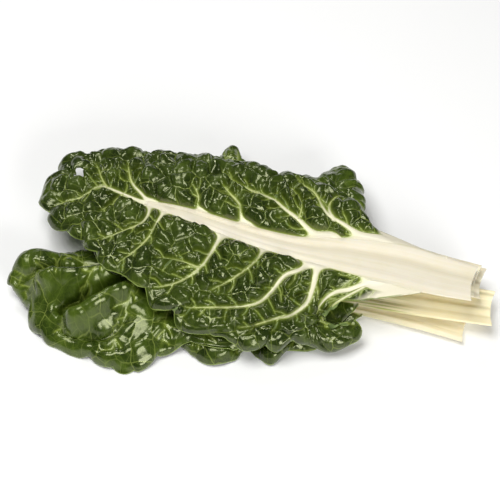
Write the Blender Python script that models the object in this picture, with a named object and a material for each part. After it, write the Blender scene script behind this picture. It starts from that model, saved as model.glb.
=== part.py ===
"""A bunch of broad-stalked white chard, lying on a flat surface.

Five leaves are stacked in a loose fan, and are named from the top down.  Each
leaf is a thick cream stalk, which runs on as the midrib, and a thin green blade
around it.  The cut ends of the stalks are at +X, the leaf tips at -X, and +Z is
up.  The origin is on the surface, under the middle of the bunch.  The bottom
stalk lies flat on the surface.

Lengths are in millimetres until a mesh is made, and in metres from there on.
"""
import bpy
import numpy as np

MM = 0.001                 # metres in a millimetre

# What all five leaves share.
BLADE_HALF = 1.2           # half the thickness of a blade solid
FIT = 0.5                  # gap between a stalk and its own blade
RIB_END = 0.97             # share of the rib where the solid of the midrib stops
MIDDLE = (0.2, 7.5)       # the middle of the bunch in the tables below, which becomes the origin
LEAF_GAP = 4.5             # air between the middles of two stacked blades
STALK_GAP = 0.6            # air between a stalk and what it lies on
CHANNEL = 0.2              # how far a stalk's edges rise, as a share of its half width
CROWN = 0.35               # share of a stalk's thickness that is above its middle line
BELLY = 0.65               # share that is below it
EDGE = 1.2                 # half the thickness of a stalk at its two edges

# How finely the solids are divided.
BLADE_ROWS = 32            # quads from one foot of the blade round its tip to the other foot
BLADE_COLUMNS = 7          # quads from the midrib out to the margin
STALK_STATIONS = 18        # quads along a stalk
STALK_FACETS = 6           # quads across the top of a stalk, and as many across its underside

# The height map of what is already laid down.
CELL = 4.0
HALF_LENGTH = 280.0
HALF_WIDTH = 180.0
BLADE_SAMPLES = (160, 32)
STALK_SAMPLES = (80, 9)

# One leaf holds:
#   rib     points on the middle line, from the cut end to the end of the midrib
#   half    half widths of the stalk at evenly spaced stations along the rib
#   thick   its thicknesses at the same stations
#   near    lines from the rib to the margin on the -Y side, foot first: the share
#           of the rib where the line starts, its end, and how far it arches up
#   tip     the line that runs on from the end of the midrib
#   far     the same lines on the +Y side
# The lines follow the side veins, so they sweep towards the tip.
LEAVES = {
    "bottom_leaf": dict(
        rib=[(198, -61, 3), (163, -48, 3), (130, -38, 3), (93, -31, 5), (46, -29, 8),
             (0, -30, 9), (-37, -34, 9), (-69, -37, 8)],
        half=[18, 19, 19, 17, 13, 9, 6, 3],
        thick=[8, 8, 8, 7, 6, 5, 4, 2],
        near=[(0.35, (105, -61, 7), 0), (0.41, (80, -71, 1), 1), (0.47, (57, -84, 1), 2),
              (0.55, (34, -90, 1), 3), (0.61, (16, -100, 1), 4), (0.66, (5, -86, 1), 3),
              (0.7, (-3, -82, 1), 3), (0.74, (-12, -94, 1), 4), (0.8, (-31, -99, 1), 4),
              (0.87, (-50, -90, 1), 4), (0.93, (-65, -78, 1), 3)],
        tip=(1, (-112, -43, 1), 3),
        far=[(0.28, (130, -11, 8), 0), (0.37, (107, 5, 2), 2), (0.45, (75, 21, 1), 2),
             (0.58, (33, 32, 1), 3), (0.73, (-23, 27, 1), 3), (0.9, (-79, 4, 1), 2)]),
    "fourth_leaf": dict(
        rib=[(221, -50, 15), (185, -44, 16), (147, -37, 17), (101, -29, 19), (46, -22, 22),
             (-9, -17, 24), (-64, -13, 26), (-119, -12, 28), (-160, -16, 28)],
        half=[19, 20, 21, 20, 15, 10, 6, 3.5, 2],
        thick=[9, 9, 9, 8, 7, 6, 4, 3, 2],
        near=[(0.28, (130, -61, 20), 0), (0.36, (96, -64, 15), 1), (0.46, (54, -77, 15), 2),
              (0.56, (11, -87, 15), 2), (0.65, (-31, -91, 13), 3), (0.73, (-65, -85, 9), 5),
              (0.79, (-107, -109, 2), 10), (0.86, (-148, -95, 2), 16), (0.93, (-190, -74, 3), 16),
              (0.975, (-209, -35, 10), 14)],
        tip=(1, (-224, -23, 20), 8),
        far=[(0.28, (139, -7, 20), 0), (0.38, (95, 18, 14), 2), (0.5, (38, 46, 10), 5),
             (0.62, (-28, 50, 10), 6), (0.76, (-103, 39, 14), 6), (0.88, (-158, 14, 20), 5),
             (0.945, (-184, 5, 30), 4), (0.985, (-209, 3, 34), 6)]),
    "third_leaf": dict(
        rib=[(212, -30, 26), (174, -20, 26), (139, -11, 28), (92, -2, 29), (46, 6, 31),
             (-9, 15, 35), (-64, 17, 35), (-120, 12, 32)],
        half=[17, 18, 19, 17, 13, 9, 6, 3],
        thick=[8, 8, 8, 7, 6, 5, 4, 2],
        near=[(0.3, (125, -36, 30), 0), (0.38, (90, -40, 29), 0), (0.53, (18, -67, 30), 2),
              (0.68, (-45, -73, 27), 1), (0.87, (-108, -54, 39), 0)],
        tip=(1, (-163, -14, 42), 2),
        far=[(0.3, (132, 17, 30), 0), (0.38, (100, 50, 24), 2), (0.52, (14, 83, 26), 6),
             (0.68, (-52, 105, 24), 6), (0.87, (-123, 79, 24), 4)]),
    "second_leaf": dict(
        rib=[(206, -34, 34), (170, -24, 34), (137, -13, 36), (101, 2, 38), (55, 24, 42),
             (9, 49, 43), (-33, 70, 41), (-66, 90, 35)],
        half=[18, 19, 20, 18, 13, 9, 6, 3],
        thick=[8, 8, 8, 7, 6, 5, 4, 2],
        near=[(0.3, (122, -35, 40), 0), (0.38, (88, -40, 40), 0), (0.48, (45, -40, 42), 2),
              (0.62, (0, -19, 44), 2), (0.76, (-41, 8, 45), 2), (0.9, (-84, 54, 43), 1)],
        tip=(1, (-106, 116, 22), 6),
        far=[(0.28, (128, 27, 38), 2), (0.35, (104, 46, 32), 5), (0.39, (104, 80, 30), 7),
             (0.45, (86, 107, 28), 9), (0.54, (59, 90, 28), 9),
             (0.66, (17, 100, 24), 8), (0.8, (-17, 124, 24), 3), (0.9, (-58, 112, 26), 3)]),
    "top_leaf": dict(
        rib=[(201, -44, 44), (168, -36, 46), (135, -27, 47), (90, -16, 51), (45, -8, 53),
             (0, 5, 54), (-46, 24, 55), (-75, 36, 54), (-94, 43, 52)],
        half=[19, 21.5, 23.5, 21, 15, 11, 8, 6, 4],
        thick=[9, 9, 9, 8, 7, 6, 4, 3, 2],
        near=[(0.24, (128, -55, 50), 0), (0.29, (104, -59, 44), 0), (0.33, (99, -73, 22), -6),
              (0.365, (87, -87, 11), 1), (0.4, (65, -90, 10), 6), (0.435, (43, -88, 17), 7),
              (0.47, (14, -94, 18), 6), (0.505, (-31, -92, 23), 6), (0.6, (-66, -80, 30), 6),
              (0.69, (-96, -58, 46), 2), (0.79, (-114, -45, 50), 2), (0.88, (-128, -29, 50), 2),
              (0.95, (-152, -2, 50), 3)],
        tip=(1, (-196, 59, 33), 4),
        far=[(0.2, (148, 0, 50), 0), (0.26, (128, 7, 50), 0), (0.3, (108, 22, 50), 2),
             (0.34, (108, 41, 52), 3), (0.38, (83, 54, 54), 5), (0.42, (42, 73, 53), 7),
             (0.46, (-9, 89, 50), 9), (0.6, (-40, 98, 48), 10), (0.74, (-74, 107, 44), 11),
             (0.87, (-99, 112, 38), 10), (0.95, (-132, 119, 34), 8), (0.985, (-168, 110, 33), 6)]),
}

STALK_FINISH = dict(colour=(0.83, 0.78, 0.60), roughness=0.42)
BLADE_FINISH = dict(colour=(0.060, 0.095, 0.020), roughness=0.30)


def clear_scene():
    for thing in list(bpy.data.objects):
        bpy.data.objects.remove(thing, do_unlink=True)


def spline(points, where):
    """Smooth curve through points; where counts them, from 0 to the last one."""
    p = np.asarray(points, float)
    if p.ndim == 1:
        p = p[:, None]
    last = len(p) - 1
    where = np.clip(np.asarray(where, float), 0, last)
    i = np.minimum(where.astype(int), last - 1)
    f = (where - i)[:, None]
    p = np.vstack([2 * p[0] - p[1], p, 2 * p[-1] - p[-2]])
    a, b, c, d = p[i], p[i + 1], p[i + 2], p[i + 3]
    return 0.5 * (2 * b + (c - a) * f + (2 * a - 5 * b + 4 * c - d) * f ** 2
                  + (3 * b - a - 3 * c + d) * f ** 3)


def unit(v):
    return v / np.maximum(np.linalg.norm(v, axis=-1, keepdims=True), 1e-9)


class Pile:
    """The height of the top of every leaf laid down so far."""

    def __init__(self):
        self.cells = (int(2 * HALF_LENGTH / CELL) + 1, int(2 * HALF_WIDTH / CELL) + 1)
        self.tops = np.zeros(self.cells)
        self.smooth = np.zeros(self.cells)

    def height(self, x, y):
        fx = np.clip((x + HALF_LENGTH) / CELL, 0, self.cells[0] - 1.001)
        fy = np.clip((y + HALF_WIDTH) / CELL, 0, self.cells[1] - 1.001)
        i, j = fx.astype(int), fy.astype(int)
        u, v = fx - i, fy - j
        g = self.smooth
        low = g[i, j] * (1 - u) + g[i + 1, j] * u
        high = g[i, j + 1] * (1 - u) + g[i + 1, j + 1] * u
        return low * (1 - v) + high * v

    def lay(self, points, above):
        """Raise the map to a surface's points, plus what stands above them."""
        p = points.reshape(-1, 3)
        i = np.rint((p[:, 0] + HALF_LENGTH) / CELL).astype(int)
        j = np.rint((p[:, 1] + HALF_WIDTH) / CELL).astype(int)
        np.maximum.at(self.tops, (i, j), p[:, 2] + above)

    def settle(self):
        """Widen the map by a cell, then round it off."""
        nx, ny = self.cells
        p = np.pad(self.tops, 1, mode="edge")
        g = np.max([p[a:a + nx, b:b + ny] for a in range(3) for b in range(3)], axis=0)
        for _ in range(2):
            p = np.pad(g, 1, mode="edge")
            g = (p[:-2, 1:-1] + p[2:, 1:-1] + p[1:-1, :-2] + p[1:-1, 2:] + 2 * g) / 6
        self.smooth = g


class Leaf:
    """One leaf: its stalk and midrib, and the lines that its blade is stretched on."""

    def __init__(self, rib, half, thick, near, tip, far):
        self.rib = np.array(rib, float)
        self.half = half
        self.thick = thick
        lines = ([(line, -1) for line in near] + [(tip, 0)]
                 + [(line, 1) for line in reversed(far)])
        share = [line[0] for line, _ in lines]
        side = [side for _, side in lines]
        # Two more lines start at the corners of the midrib's end, beside the tip line.
        end = len(near)
        corners = np.array([*range(end), end - 0.5, end, end + 0.5, *range(end + 1, len(lines))])
        self.share = np.array(share[:end] + [1, 1, 1] + share[end + 1:], float)
        self.side = np.array(side[:end] + [-1, 0, 1] + side[end + 1:], float)
        self.margin = spline([line[1] for line, _ in lines], corners)
        self.arch = spline([line[2] for line, _ in lines], corners)

    def rib_at(self, share):
        return spline(self.rib, share * (len(self.rib) - 1))

    def half_at(self, share):
        return spline(self.half, share * (len(self.half) - 1))[:, 0]

    def thick_at(self, share):
        return spline(self.thick, share * (len(self.thick) - 1))[:, 0]

    def directions(self, share):
        """Along the rib, across it towards +Y, and out of its upper face."""
        step = 0.01
        ahead = self.rib_at(np.clip(share + step, 0, 1))
        along = unit(ahead - self.rib_at(np.clip(share - step, 0, 1)))
        across = unit(np.cross(along, (0.0, 0.0, 1.0)))
        return along, across, unit(np.cross(across, along))

    def stalk_middle(self, share, v):
        """The middle surface of the stalk; v is -1 and +1 at its two edges."""
        _, across, up = self.directions(share)
        w = self.half_at(share)
        return self.rib_at(share) + across * (w * v)[:, None] + up * (CHANNEL * w * v * v)[:, None]

    def rest_stalk(self, pile):
        """Raise the rib where the pile is higher than its underside."""
        stations = np.linspace(0, 1, len(self.rib))
        for _ in range(3):
            for v in np.linspace(-1, 1, 9):
                p = self.stalk_middle(stations, np.full(len(stations), v))
                below = self.thick_at(stations) * BELLY * (1 - v * v) + EDGE * v * v
                need = pile.height(p[:, 0], p[:, 1]) + below + STALK_GAP
                on_pile = pile.height(p[:, 0], p[:, 1]) > 0
                self.rib[:, 2] += np.where(on_pile, np.maximum(need - p[:, 2], 0), 0)

    def foot_share(self, k):
        return np.clip(spline(self.share, k)[:, 0], 0, 1)

    def blade_flat(self, k, u):
        """The blade before it is laid on the pile: k counts the lines, u is 0 at the rib."""
        share = self.foot_share(k)
        side = np.clip(spline(self.side, k)[:, 0], -1, 1)
        foot = self.stalk_middle(share, side)
        along, across, _ = self.directions(share)
        foot += FIT * (across * side[:, None] + along * np.sqrt(1 - side ** 2)[:, None])
        margin = spline(self.margin, k)
        p = foot[:, None] + (margin - foot)[:, None] * u[None, :, None]
        p[..., 2] += spline(self.arch, k) * (4 * u * (1 - u))[None, :]
        return p

    def blade(self, k, u, pile):
        """The blade's middle surface, draped over what lies under it."""
        p = self.blade_flat(k, u)
        below = pile.height(p[..., 0], p[..., 1])
        need = below + BLADE_HALF + LEAF_GAP * np.minimum(1, below / 6)
        rise = p[..., 2] - need
        draped = need + 0.5 * (rise + np.sqrt(rise ** 2 + 16))
        free = np.minimum(1, 6 * u)[None, :]
        p[..., 2] = np.maximum(p[..., 2] * (1 - free) + draped * free, BLADE_HALF)
        return p

    def even_lines(self, count):
        """Values of k that are evenly spaced three quarters of the way out."""
        k = np.linspace(0, len(self.share) - 1, 400)
        p = self.blade_flat(k, np.array([0.75]))[:, 0]
        step = np.linalg.norm(np.diff(p, axis=0), axis=1)
        run = np.concatenate([[0], np.cumsum(step)])
        return np.interp(np.linspace(0, run[-1], count), run, k)


def stalk_section(leaf, share, v, top):
    """Points across a stalk's upper face or its underside, never under the surface."""
    middle = leaf.stalk_middle(share, v)
    _, _, up = leaf.directions(share)
    part = CROWN if top else -BELLY
    edge = EDGE if top else -EDGE
    slim = np.minimum(1, leaf.half_at(share) / 6)
    height = leaf.thick_at(share) * part * (1 - v * v) + slim * edge * v * v
    p = middle + up * height[:, None]
    p[:, 2] = np.maximum(p[:, 2], 0)
    return p


def closed_shell(name, top, bottom, finish):
    """A solid between two grids of points, walled round their shared rim."""
    rows, columns = top.shape[:2]
    verts = (np.concatenate([top.reshape(-1, 3), bottom.reshape(-1, 3)]) - (*MIDDLE, 0)) * MM
    upper = np.arange(rows * columns).reshape(rows, columns)
    lower = upper + rows * columns
    faces = []
    for i in range(rows - 1):
        for j in range(columns - 1):
            faces.append((upper[i, j], upper[i + 1, j], upper[i + 1, j + 1], upper[i, j + 1]))
            faces.append((lower[i, j], lower[i, j + 1], lower[i + 1, j + 1], lower[i + 1, j]))
    rim = ([(i, 0) for i in range(rows)] + [(rows - 1, j) for j in range(1, columns)]
           + [(i, columns - 1) for i in range(rows - 2, -1, -1)]
           + [(0, j) for j in range(columns - 2, 0, -1)])
    for here, there in zip(rim, rim[1:] + rim[:1]):
        faces.append((upper[there], upper[here], lower[here], lower[there]))
    add_object(name, verts, faces, finish)


def add_object(name, verts, faces, finish):
    mesh = bpy.data.meshes.new(name)
    mesh.from_pydata([tuple(v) for v in verts], [], [tuple(int(i) for i in f) for f in faces])
    mesh.materials.append(finish)
    mesh.shade_smooth()
    thing = bpy.data.objects.new(name, mesh)
    bpy.context.scene.collection.objects.link(thing)


def make_finish(name, colour, roughness):
    finish = bpy.data.materials.new(name)
    finish.use_nodes = True
    shader = finish.node_tree.nodes["Principled BSDF"]
    shader.inputs["Base Color"].default_value = (*colour, 1.0)
    shader.inputs["Roughness"].default_value = roughness
    shader.inputs["Metallic"].default_value = 0.0
    return finish


def surface_normals(p):
    down_rows = np.gradient(p, axis=0)
    along_rows = np.gradient(p, axis=1)
    return unit(np.cross(down_rows, along_rows))


def make_stalk(leaf, name, finish):
    share = np.linspace(0, RIB_END, STALK_STATIONS + 1)
    across = np.sin(np.linspace(-0.5, 0.5, STALK_FACETS + 1) * np.pi)
    grids = []
    for top in (True, False):
        lines = [stalk_section(leaf, share, np.full(len(share), v), top) for v in across]
        grids.append(np.stack(lines[::-1], axis=1))
    closed_shell(name, *grids, finish)


def make_blade(leaf, pile, name, finish):
    k = leaf.even_lines(BLADE_ROWS + 1)
    p = leaf.blade(k, np.linspace(0, 1, BLADE_COLUMNS + 1), pile)
    facing = surface_normals(p)
    facing[:, 0] = leaf.directions(leaf.foot_share(k))[2]
    offset = facing * BLADE_HALF
    top, bottom = p + offset, p - offset
    for grid in (top, bottom):
        grid[..., 2] = np.maximum(grid[..., 2], 0)
    closed_shell(name, top, bottom, finish)


def lay_on_pile(leaf, pile):
    """Add a finished leaf to the height map."""
    k = leaf.even_lines(BLADE_SAMPLES[0])
    pile.lay(leaf.blade(k, np.linspace(0, 1, BLADE_SAMPLES[1]), pile), BLADE_HALF)
    share = np.linspace(0, 1, STALK_SAMPLES[0])
    for v in np.linspace(-1, 1, STALK_SAMPLES[1]):
        above = CROWN * leaf.thick_at(share) * (1 - v * v) + EDGE * v * v
        pile.lay(leaf.stalk_middle(share, np.full(len(share), v)), above)
    pile.settle()


def build():
    clear_scene()
    pile = Pile()
    for name, table in LEAVES.items():
        leaf = Leaf(**table)
        leaf.rest_stalk(pile)
        make_stalk(leaf, name + "_stalk", make_finish(name + "_cream", **STALK_FINISH))
        make_blade(leaf, pile, name + "_blade", make_finish(name + "_green", **BLADE_FINISH))
        lay_on_pile(leaf, pile)


build()
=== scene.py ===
"""A bunch of broad-stalked white chard lying on a table: five leaves, each a cream
stalk that runs on as the midrib, a blistered green blade, and the side veins on it.

The leaves are worked out in millimetres. Meshes, camera and lights are in metres.
"""
import math

import bpy
import numpy as np
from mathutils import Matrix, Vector, kdtree


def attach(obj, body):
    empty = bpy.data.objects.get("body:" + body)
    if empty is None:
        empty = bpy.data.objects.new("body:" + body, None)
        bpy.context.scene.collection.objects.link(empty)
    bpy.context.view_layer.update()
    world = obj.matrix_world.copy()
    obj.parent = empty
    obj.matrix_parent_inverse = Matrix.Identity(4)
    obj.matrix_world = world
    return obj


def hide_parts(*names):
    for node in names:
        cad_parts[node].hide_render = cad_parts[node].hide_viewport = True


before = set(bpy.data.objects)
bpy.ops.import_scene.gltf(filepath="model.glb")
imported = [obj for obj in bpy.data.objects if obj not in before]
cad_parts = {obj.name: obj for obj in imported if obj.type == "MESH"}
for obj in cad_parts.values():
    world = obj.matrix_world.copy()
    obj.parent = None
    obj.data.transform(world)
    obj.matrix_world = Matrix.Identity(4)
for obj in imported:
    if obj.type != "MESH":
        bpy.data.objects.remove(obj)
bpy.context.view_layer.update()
scene = bpy.context.scene


# Camera, floor and light ------------------------------------------------------
# A plain pale table under soft studio light: a broad panel overhead, which the
# glossy blisters mirror, a small one behind the leaves, and a wide low one in front.
LOOK_AT = Vector((0, -0.0005, 0.030))
ELEVATION = math.radians(55)    # how steeply the camera looks down
DISTANCE = 1.6             # from the camera to the bunch
LENS = 125.2               # focal length in millimetres
FLOOR_SIZE = 6.0


def add_object(name, data):
    """An object that holds this data, linked into the scene."""
    made = bpy.data.objects.new(name, data)
    scene.collection.objects.link(made)
    return made


camera = scene.camera = add_object("camera", bpy.data.cameras.new("camera"))
camera.data.lens = LENS
camera.location = LOOK_AT + DISTANCE * Vector((0, -math.cos(ELEVATION), math.sin(ELEVATION)))
camera.rotation_euler = (math.pi / 2 - ELEVATION, 0, 0)


def add_panel(name, place, width, depth, power):
    """A soft area light that faces the bunch."""
    light = bpy.data.lights.new(name, "AREA")
    light.shape = "RECTANGLE"
    light.size = width
    light.size_y = depth
    light.energy = power
    panel = add_object(name, light)
    panel.location = place
    panel.rotation_euler = (LOOK_AT - Vector(place)).to_track_quat("-Z", "Y").to_euler()


add_panel("top_panel", (-0.4, -0.1, 1.7), 1.0, 1.0, 24)
add_panel("back_panel", (-0.5, 1.3, 1.5), 0.5, 0.35, 8)
add_panel("front_panel", (0.8, -1.5, 0.8), 0.9, 0.8, 21)

world = scene.world = bpy.data.worlds.new("studio")
world.use_nodes = True
sky = world.node_tree.nodes["Background"]
sky.inputs["Color"].default_value = (1, 1, 1, 1)
sky.inputs["Strength"].default_value = 0.10
scene.view_settings.view_transform = "Standard"
scene.view_settings.look = "None"


class Socket:
    """Wraps a node socket, so that shader maths reads as an expression on values."""

    def __init__(self, tree, socket):
        self.tree = tree
        self.socket = socket

    def maths(self, operation, *others, clamp=False):
        return node(self.tree, "ShaderNodeMath", dict(operation=operation, use_clamp=clamp),
                    self, *others)

    def __add__(self, other):
        return self.maths("ADD", other)

    def __sub__(self, other):
        return self.maths("SUBTRACT", other)

    def __rsub__(self, other):
        return node(self.tree, "ShaderNodeMath", dict(operation="SUBTRACT"), other, self)

    def __mul__(self, other):
        return self.maths("MULTIPLY", other)

    __radd__ = __add__
    __rmul__ = __mul__

    def between(self, low, high):
        """0 below low, 1 above high, and a smooth rise from one to the other."""
        return node(self.tree, "ShaderNodeMapRange", dict(interpolation_type="SMOOTHSTEP"),
                    self, low, high)

    def mix(self, zero, one):
        """A colour: zero where this value is 0, one where it is 1."""
        return node(self.tree, "ShaderNodeMix", dict(data_type="RGBA"), out="Result",
                    Factor=self, A=zero, B=one)


def feed(tree, socket, value):
    """Links a socket to a Socket, or sets it; a colour comes without its alpha."""
    if isinstance(value, Socket):
        tree.links.new(value.socket, socket)
    elif isinstance(value, tuple):
        socket.default_value = (*value, 1)[:len(socket.default_value)]
    else:
        socket.default_value = value


def node(tree, kind, settings=None, *values, out=0, **named):
    """Adds a node: its settings first, then its sockets in order or by name."""
    made = tree.nodes.new(kind)
    for setting, value in (settings or {}).items():
        setattr(made, setting, value)
    usable = [socket for socket in made.inputs if socket.enabled]
    for socket, value in zip(usable, values):
        feed(tree, socket, value)
    for name, value in named.items():
        feed(tree, next(socket for socket in usable if socket.name == name), value)
    outputs = [socket for socket in made.outputs if socket.enabled]
    if isinstance(out, str):
        return Socket(tree, next(socket for socket in outputs if socket.name == out))
    return Socket(tree, outputs[out])


def new_material(name):
    """A material with an empty tree but for its Principled shader."""
    material = bpy.data.materials.new(name)
    material.use_nodes = True
    return material, material.node_tree, material.node_tree.nodes["Principled BSDF"]


def plug(tree, shader, **sockets):
    """Sets or links sockets of a shader; an underscore stands for a space."""
    for name, value in sockets.items():
        feed(tree, shader.inputs[name.replace("_", " ")], value)


def floor_material():
    material, tree, shader = new_material("pale_table")
    place = node(tree, "ShaderNodeNewGeometry", out="Position")
    grain = node(tree, "ShaderNodeTexNoise", None, Vector=place, Scale=3.0, Detail=4.0)
    plug(tree, shader, Base_Color=grain.mix((0.92, 0.92, 0.91), (0.95, 0.95, 0.94)), Roughness=0.8)
    return material


half = FLOOR_SIZE / 2
floor_mesh = bpy.data.meshes.new("floor")
floor_mesh.from_pydata([(-half, -half, 0), (half, -half, 0), (half, half, 0), (-half, half, 0)],
                       [], [(0, 1, 2, 3)])
floor_mesh.materials.append(floor_material())
floor = add_object("floor", floor_mesh)


# The five leaves as they lie ----------------------------------------------------
# The leaves are stacked in a loose fan, and are named from the top down. Each is
# draped over those under it, so they are laid out in order, the bottom one first.
MIDDLE = (0.2, 7.5)        # the middle of the bunch in the tables, which becomes the origin
DRAPE = 1.2                # room that a blade takes up above and below its middle
TUCK = 1.3                 # how far a blade's inner edge runs into the stalk
LEAF_GAP = 4.5             # air between the middles of two stacked blades
FULL_GAP = 6               # height of a pile from which the whole of that air is kept
SOFT_BEND = 4              # how softly a blade bends over what lies under it
HELD = 1 / 6               # share of a blade's width over which its stalk holds it up
STALK_GAP = 0.6            # air between a stalk and what it lies on
CHANNEL = 0.2              # how far a stalk's edges rise, as a share of its half width
CROWN = 0.35               # share of a stalk's thickness that is above its middle line
BELLY = 0.65               # share that is below it
EDGE = 1.2                 # half the thickness of a stalk at its two edges
WING = 0.035               # share of the rib along which the blade runs down the stalk
WING_TIP = 1.0             # how far the wing's tip stands out from the stalk's edge
CLEAR_SKY = 300            # the ceiling over the top leaf

# One leaf holds the points of its rib, from the cut end on, the half widths and
# thicknesses of the stalk along it, and the lines from the rib to the margin on the
# -Y side (near), at the tip, and on the +Y side (far). A line says which share of the
# rib it starts at, where it ends, and how far it arches up or which point it bends
# through. Lines follow the side veins.
LEAVES = {
    "bottom_leaf": dict(
        rib=[(198, -61, 3), (163, -48, 3), (130, -38, 3), (93, -31, 5), (46, -29, 8),
             (0, -30, 9), (-37, -34, 9), (-69, -37, 8)],
        half=[18, 19, 19, 17, 13, 9, 6, 3],
        thick=[8, 8, 8, 7, 6, 5, 4, 2],
        near=[(0.42, (88, -58, 6), 0), (0.44, (77, -71, 1), 1), (0.475, (57, -84, 1), 2),
              (0.55, (38, -86, 1), 3), (0.61, (20, -101, 1), 4), (0.66, (6, -92, 1), 3),
              (0.7, (-3, -84, 1), 3), (0.74, (-13, -96, 1), 4), (0.8, (-32, -101, 1), 4),
              (0.87, (-51, -93, 1), 4), (0.93, (-65, -79, 1), 3)],
        tip=(1, (-112, -43, 1), 3),
        far=[(0.28, (130, -11, 8), 0), (0.37, (107, 5, 2), 2), (0.45, (75, 21, 1), 2),
             (0.58, (33, 32, 1), 3), (0.73, (-23, 27, 1), 3), (0.9, (-79, 4, 1), 2)]),
    "fourth_leaf": dict(
        rib=[(221, -50, 15), (185, -44, 16), (147, -37, 17), (101, -29, 19), (46, -22, 22),
             (-9, -17, 24), (-64, -13, 26), (-119, -12, 28), (-160, -16, 28)],
        half=[19, 20, 21, 20, 15, 9, 4.5, 2, 1],
        thick=[9, 9, 9, 8, 7, 6, 4, 3, 2],
        near=[(0.41, (86, -61, 16), 0), (0.435, (72, -71, 15), 1), (0.47, (52, -78, 15), 2),
              (0.56, (11, -87, 15), 2), (0.65, (-31, -91, 13), 3), (0.73, (-65, -85, 9), 5),
              (0.79, (-107, -109, 2), 10), (0.86, (-148, -95, 2), 16), (0.93, (-190, -74, 3), 16),
              (0.975, (-209, -35, 10), 14)],
        tip=(1, (-224, -23, 20), 8),
        far=[(0.28, (139, -7, 20), 0), (0.38, (95, 18, 14), 2), (0.5, (38, 46, 10), 5),
             (0.62, (-28, 50, 10), 6), (0.76, (-103, 39, 14), 6), (0.88, (-158, 14, 20), 5),
             (0.945, (-184, 5, 30), 4), (0.985, (-209, 3, 34), 6)]),
    "third_leaf": dict(
        rib=[(212, -30, 26), (174, -20, 26), (139, -11, 28), (92, -2, 29), (46, 6, 31),
             (-9, 15, 35), (-64, 17, 35), (-120, 12, 32)],
        half=[17, 18, 19, 17, 13, 9, 6, 3],
        thick=[8, 8, 8, 7, 6, 5, 4, 2],
        near=[(0.3, (125, -36, 30), 0), (0.38, (90, -40, 29), 0), (0.53, (18, -65, 30), 2),
              (0.68, (-43, -66, 27), 1), (0.87, (-92, -36, 33), 0)],
        tip=(1, (-143, 0, 38), 2),
        far=[(0.38, (101, 24, 30), 0), (0.42, (90, 48, 24), 2), (0.52, (14, 83, 26), 6),
             (0.68, (-52, 105, 24), 6), (0.87, (-123, 79, 24), 4)]),
    "second_leaf": dict(
        rib=[(206, -34, 34), (170, -24, 34), (137, -13, 36), (101, 2, 38), (55, 24, 42),
             (9, 49, 43), (-33, 70, 41), (-66, 90, 35)],
        half=[18, 19, 20, 18, 13, 9, 6, 3],
        thick=[8, 8, 8, 7, 6, 5, 4, 2],
        near=[(0.3, (122, -35, 40), 0), (0.38, (88, -40, 40), 0), (0.48, (45, -40, 42), 2),
              (0.62, (0, -19, 44), 2), (0.76, (-41, 8, 45), 2), (0.9, (-84, 54, 43), 1)],
        tip=(1, (-106, 116, 22), 6),
        far=[(0.425, (96, 28, 39), 0), (0.445, (96, 50, 34), 3),
             (0.47, (104, 81, 30), 6), (0.5, (86, 107, 28), 8), (0.54, (59, 90, 28), 9),
             (0.66, (17, 100, 24), 8), (0.76, (-4, 112, 26), 4), (0.79, (-13, 131, 25), 2),
             (0.82, (-26, 128, 25), 2), (0.85, (-33, 112, 26), 3), (0.92, (-62, 112, 26), 3)]),
    "top_leaf": dict(
        rib=[(201, -44, 44), (168, -36, 46), (135, -27, 47), (90, -16.5, 51), (45, -9, 53),
             (0, 5, 54), (-46, 24, 55), (-75, 36, 54), (-94, 43, 52)],
        half=[19, 21.5, 23, 19.5, 13, 10.5, 8, 5.5, 3],
        thick=[9, 9, 9, 8, 7, 6, 4, 3, 2],
        near=[(0.2, (131, -56, 48), 0), (0.24, (108, -58, 46), 0), (0.27, (91, -58, 44), 1),
              (0.29, (76, -60, 41), 1), (0.305, (66, -65, 37), 1),
              (0.315, (66, -70, 33), (66, -61, 40)), (0.325, (77, -73, 30), (61, -62, 39)),
              (0.335, (94, -71, 26), (59, -64, 37)), (0.345, (101, -74, 20), (58, -66, 35)),
              (0.355, (96, -82, 12), (58, -67, 33)), (0.365, (85, -87, 9), (57, -68, 32)),
              (0.38, (68, -89, 9), (56, -69, 31)), (0.4, (56, -88, 12), (54, -68, 31)),
              (0.435, (43, -88, 17), 7),
              (0.47, (14, -94, 18), 6), (0.505, (-31, -89, 23), 6), (0.6, (-60, -74, 31), 6),
              (0.69, (-91, -54, 45), 2), (0.79, (-113, -42, 50), 2), (0.88, (-128, -29, 50), 2),
              (0.95, (-152, -2, 50), 3)],
        tip=(1, (-196, 59, 33), 4),
        far=[(0.14, (160, -8, 49), 0), (0.2, (134, 5, 50), 0), (0.26, (106, 20, 50), 0),
             (0.3, (97, 33, 50), 1), (0.34, (94, 45, 51), 3), (0.38, (82, 55, 53), 5),
             (0.42, (42, 73, 53), 7), (0.46, (-9, 89, 50), 9), (0.6, (-40, 98, 48), 10),
             (0.74, (-74, 107, 44), 11), (0.87, (-99, 112, 38), 10), (0.95, (-132, 119, 34), 8),
             (0.985, (-168, 110, 33), 6)]),
}


def spline(points, where):
    """Smooth curve through points; where counts them, from 0 to the last one."""
    p = np.asarray(points, float)
    if p.ndim == 1:
        p = p[:, None]
    last = len(p) - 1
    where = np.clip(np.asarray(where, float), 0, last)
    i = np.minimum(where.astype(int), last - 1)
    f = (where - i)[:, None]
    p = np.vstack([2 * p[0] - p[1], p, 2 * p[-1] - p[-2]])
    a, b, c, d = p[i], p[i + 1], p[i + 2], p[i + 3]
    return 0.5 * (2 * b + (c - a) * f + (2 * a - 5 * b + 4 * c - d) * f ** 2
                  + (3 * b - a - 3 * c + d) * f ** 3)


def unit(v):
    return v / np.maximum(np.linalg.norm(v, axis=-1, keepdims=True), 1e-9)


def run_along(points):
    """How far each point is from the first, along a line of points or many side by side."""
    steps = np.linalg.norm(np.diff(points, axis=0), axis=-1)
    return np.concatenate([0 * steps[:1], np.cumsum(steps, axis=0)])


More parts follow.
